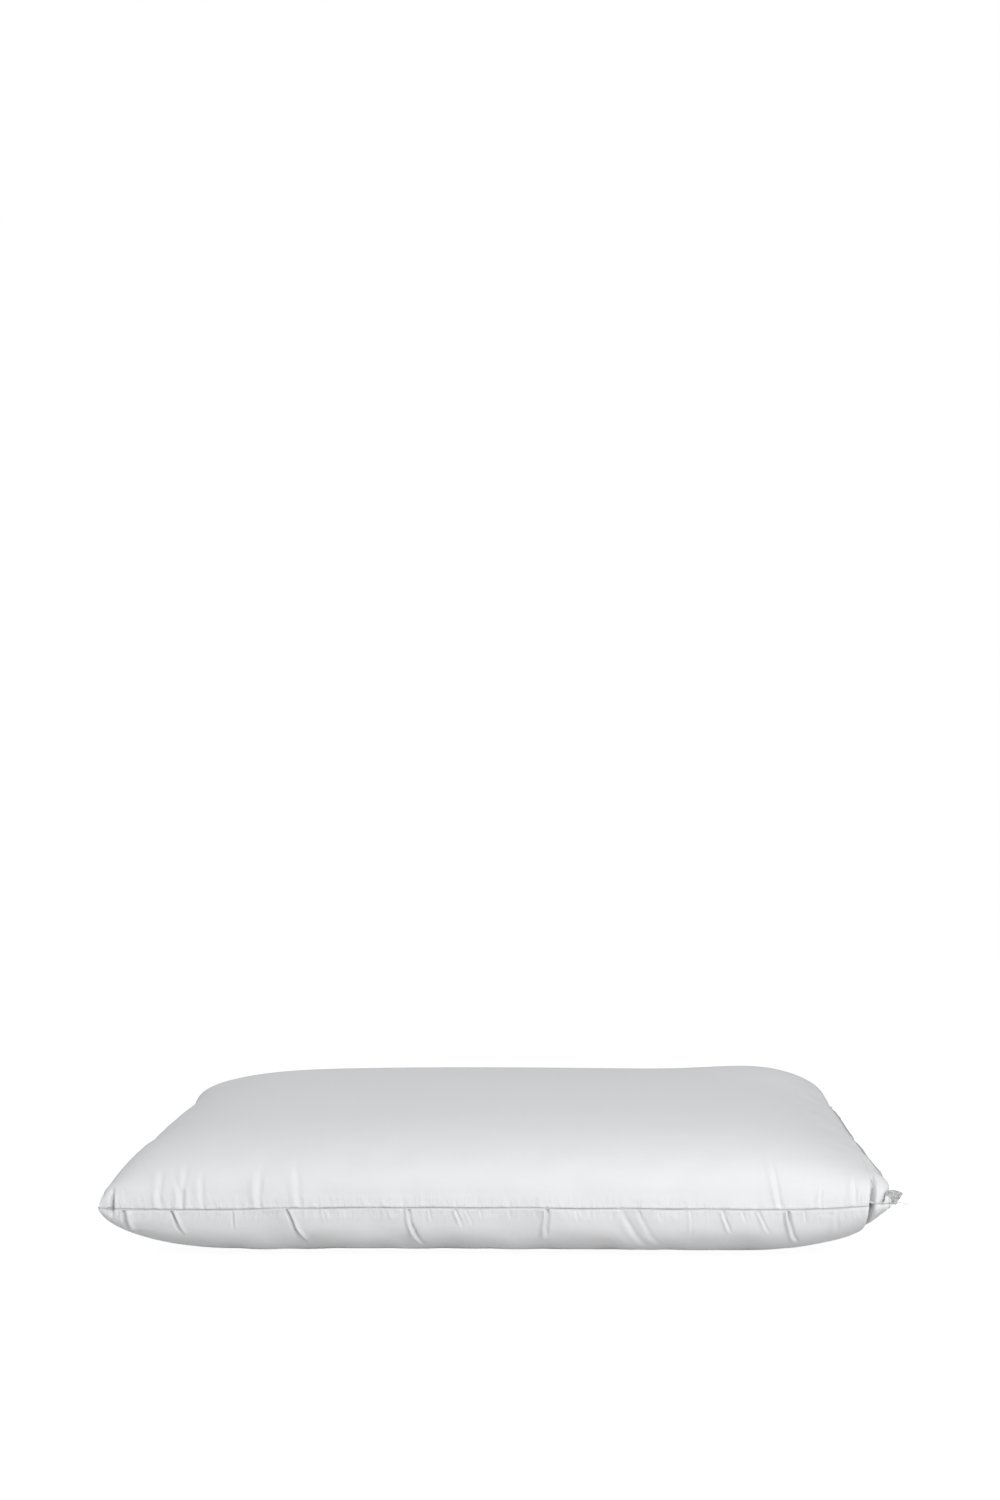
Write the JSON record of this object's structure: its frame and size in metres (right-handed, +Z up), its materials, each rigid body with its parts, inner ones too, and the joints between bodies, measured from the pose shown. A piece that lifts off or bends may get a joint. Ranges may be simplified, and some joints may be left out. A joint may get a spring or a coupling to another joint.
{
  "type": "bed pillow",
  "caption": "A plain white bed pillow: a knife-edge cotton cover sewn shut round a soft, loose fibre fill, lying flat.",
  "frame": {"origin": "middle of the flat patch that the pillow rests on", "axes": "+X along the pillow's length, +Y across its depth away from the front seam, +Z up out of the top panel"},
  "size_m": [0.6776, 0.47, 0.11],
  "materials": {
    "cotton_white": "matt, closely woven plain cotton",
    "fibre_white": "matt, loose hollow polyester fibre",
    "thread_white": "satin, spun polyester thread",
    "label_satin": "satin woven ribbon"
  },
  "bodies": {
    "root": {"top_panel": "cotton_white", "bottom_panel": "cotton_white", "fibre_fill": "fibre_white", "front_seam_needle_thread": "thread_white", "front_seam_bobbin_thread": "thread_white", "front_seam_overlock_thread": "thread_white", "back_seam_needle_thread": "thread_white", "back_seam_bobbin_thread": "thread_white", "back_seam_overlock_thread": "thread_white", "left_seam_needle_thread": "thread_white", "left_seam_bobbin_thread": "thread_white", "left_seam_overlock_thread": "thread_white", "closing_seam_needle_thread": "thread_white", "closing_seam_bobbin_thread": "thread_white", "closing_seam_overlock_thread": "thread_white", "care_label": "label_satin"}
  },
  "joints": []
}
